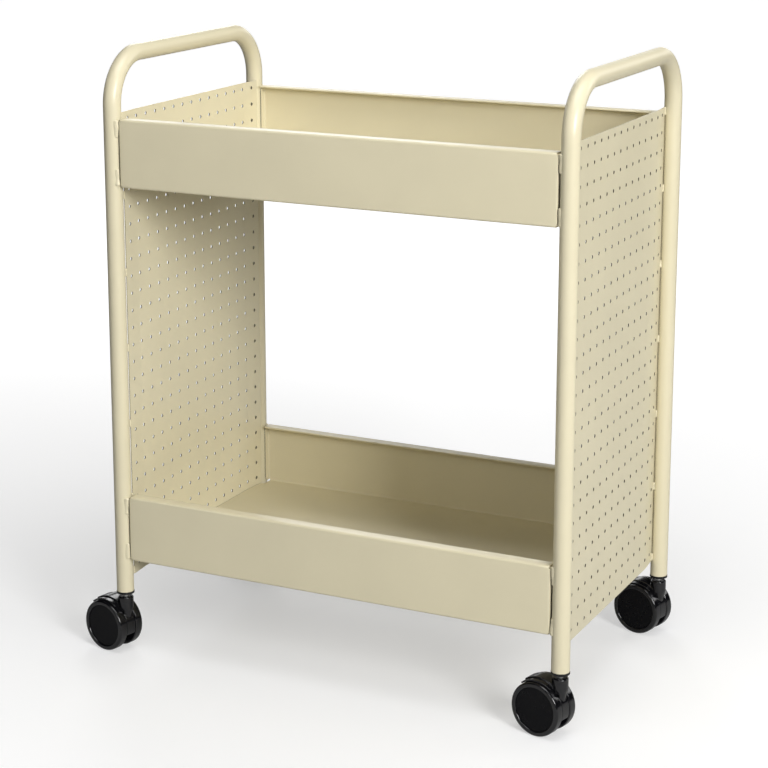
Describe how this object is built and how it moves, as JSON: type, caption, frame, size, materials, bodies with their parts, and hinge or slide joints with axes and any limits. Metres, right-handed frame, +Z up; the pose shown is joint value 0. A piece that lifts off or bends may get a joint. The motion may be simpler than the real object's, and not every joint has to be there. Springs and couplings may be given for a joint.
{
  "type": "mobile learning cart",
  "caption": "Two-tier rolling cart of bent steel tube with perforated side panels, open-ended sheet trays and twin-wheel swivel casters.",
  "frame": {"origin": "centre of the bounding box on the floor, which is the middle of the four casters' wheels in their rest pose", "axes": "+Z up, +X along the trays from the left end frame to the right one, -Y towards the front, the side the picture shows"},
  "size_m": [0.769, 0.4664, 0.894],
  "materials": {
    "powder_coat": "smooth semi-gloss powder coat",
    "caster_hood": "glossy moulded black",
    "caster_wheel": "glossy black, worn slightly on the tread",
    "wheel_cap": "glossy moulded black",
    "stem_socket": "fine moulded grain",
    "plated_steel": "bright zinc plate"
  },
  "bodies": {
    "cart": {"left_end_frame": "powder_coat", "right_end_frame": "powder_coat", "left_side_panel": "powder_coat", "right_side_panel": "powder_coat", "upper_tray": "powder_coat", "lower_tray": "powder_coat", "tray_weld_beads": "powder_coat", "panel_weld_beads": "powder_coat", "front_left_socket": "stem_socket", "front_right_socket": "stem_socket", "rear_left_socket": "stem_socket", "rear_right_socket": "stem_socket", "front_left_stem": "plated_steel", "front_right_stem": "plated_steel", "rear_left_stem": "plated_steel", "rear_right_stem": "plated_steel", "stem_grip_rings": "plated_steel"},
    "front_left_caster": {"front_left_hood": "caster_hood", "front_left_axle": "plated_steel"},
    "front_left_front_wheel": {"front_left_wheel_front": "caster_wheel", "front_left_cap_front": "wheel_cap"},
    "front_left_back_wheel": {"front_left_wheel_back": "caster_wheel", "front_left_cap_back": "wheel_cap"},
    "front_right_caster": {"front_right_hood": "caster_hood", "front_right_axle": "plated_steel"},
    "front_right_front_wheel": {"front_right_wheel_front": "caster_wheel", "front_right_cap_front": "wheel_cap"},
    "front_right_back_wheel": {"front_right_wheel_back": "caster_wheel", "front_right_cap_back": "wheel_cap"},
    "rear_left_caster": {"rear_left_hood": "caster_hood", "rear_left_axle": "plated_steel"},
    "rear_left_front_wheel": {"rear_left_wheel_front": "caster_wheel", "rear_left_cap_front": "wheel_cap"},
    "rear_left_back_wheel": {"rear_left_wheel_back": "caster_wheel", "rear_left_cap_back": "wheel_cap"},
    "rear_right_caster": {"rear_right_hood": "caster_hood", "rear_right_axle": "plated_steel"},
    "rear_right_front_wheel": {"rear_right_wheel_front": "caster_wheel", "rear_right_cap_front": "wheel_cap"},
    "rear_right_back_wheel": {"rear_right_wheel_back": "caster_wheel", "rear_right_cap_back": "wheel_cap"}
  },
  "joints": [
    {"name": "front_left_swivel", "type": "hinge", "parent": "cart", "child": "front_left_caster", "pos_m": [-0.31708, -0.20916, 0.0854], "axis": [0, 0, 1], "continuous": true},
    {"name": "front_left_front_roll", "type": "hinge", "parent": "front_left_caster", "child": "front_left_front_wheel", "pos_m": [-0.3429, -0.2032, 0.038], "axis": [0.225, 0.9744, 0], "continuous": true},
    {"name": "front_left_back_roll", "type": "hinge", "parent": "front_left_caster", "child": "front_left_back_wheel", "pos_m": [-0.3429, -0.2032, 0.038], "axis": [0.225, 0.9744, 0], "continuous": true},
    {"name": "front_right_swivel", "type": "hinge", "parent": "cart", "child": "front_right_caster", "pos_m": [0.36872, -0.20916, 0.0854], "axis": [0, 0, 1], "continuous": true},
    {"name": "front_right_front_roll", "type": "hinge", "parent": "front_right_caster", "child": "front_right_front_wheel", "pos_m": [0.3429, -0.2032, 0.038], "axis": [0.225, 0.9744, 0], "continuous": true},
    {"name": "front_right_back_roll", "type": "hinge", "parent": "front_right_caster", "child": "front_right_back_wheel", "pos_m": [0.3429, -0.2032, 0.038], "axis": [0.225, 0.9744, 0], "continuous": true},
    {"name": "rear_left_swivel", "type": "hinge", "parent": "cart", "child": "rear_left_caster", "pos_m": [-0.31708, 0.19724, 0.0854], "axis": [0, 0, 1], "continuous": true},
    {"name": "rear_left_front_roll", "type": "hinge", "parent": "rear_left_caster", "child": "rear_left_front_wheel", "pos_m": [-0.3429, 0.2032, 0.038], "axis": [0.225, 0.9744, 0], "continuous": true},
    {"name": "rear_left_back_roll", "type": "hinge", "parent": "rear_left_caster", "child": "rear_left_back_wheel", "pos_m": [-0.3429, 0.2032, 0.038], "axis": [0.225, 0.9744, 0], "continuous": true},
    {"name": "rear_right_swivel", "type": "hinge", "parent": "cart", "child": "rear_right_caster", "pos_m": [0.36872, 0.19724, 0.0854], "axis": [0, 0, 1], "continuous": true},
    {"name": "rear_right_front_roll", "type": "hinge", "parent": "rear_right_caster", "child": "rear_right_front_wheel", "pos_m": [0.3429, 0.2032, 0.038], "axis": [0.225, 0.9744, 0], "continuous": true},
    {"name": "rear_right_back_roll", "type": "hinge", "parent": "rear_right_caster", "child": "rear_right_back_wheel", "pos_m": [0.3429, 0.2032, 0.038], "axis": [0.225, 0.9744, 0], "continuous": true}
  ]
}
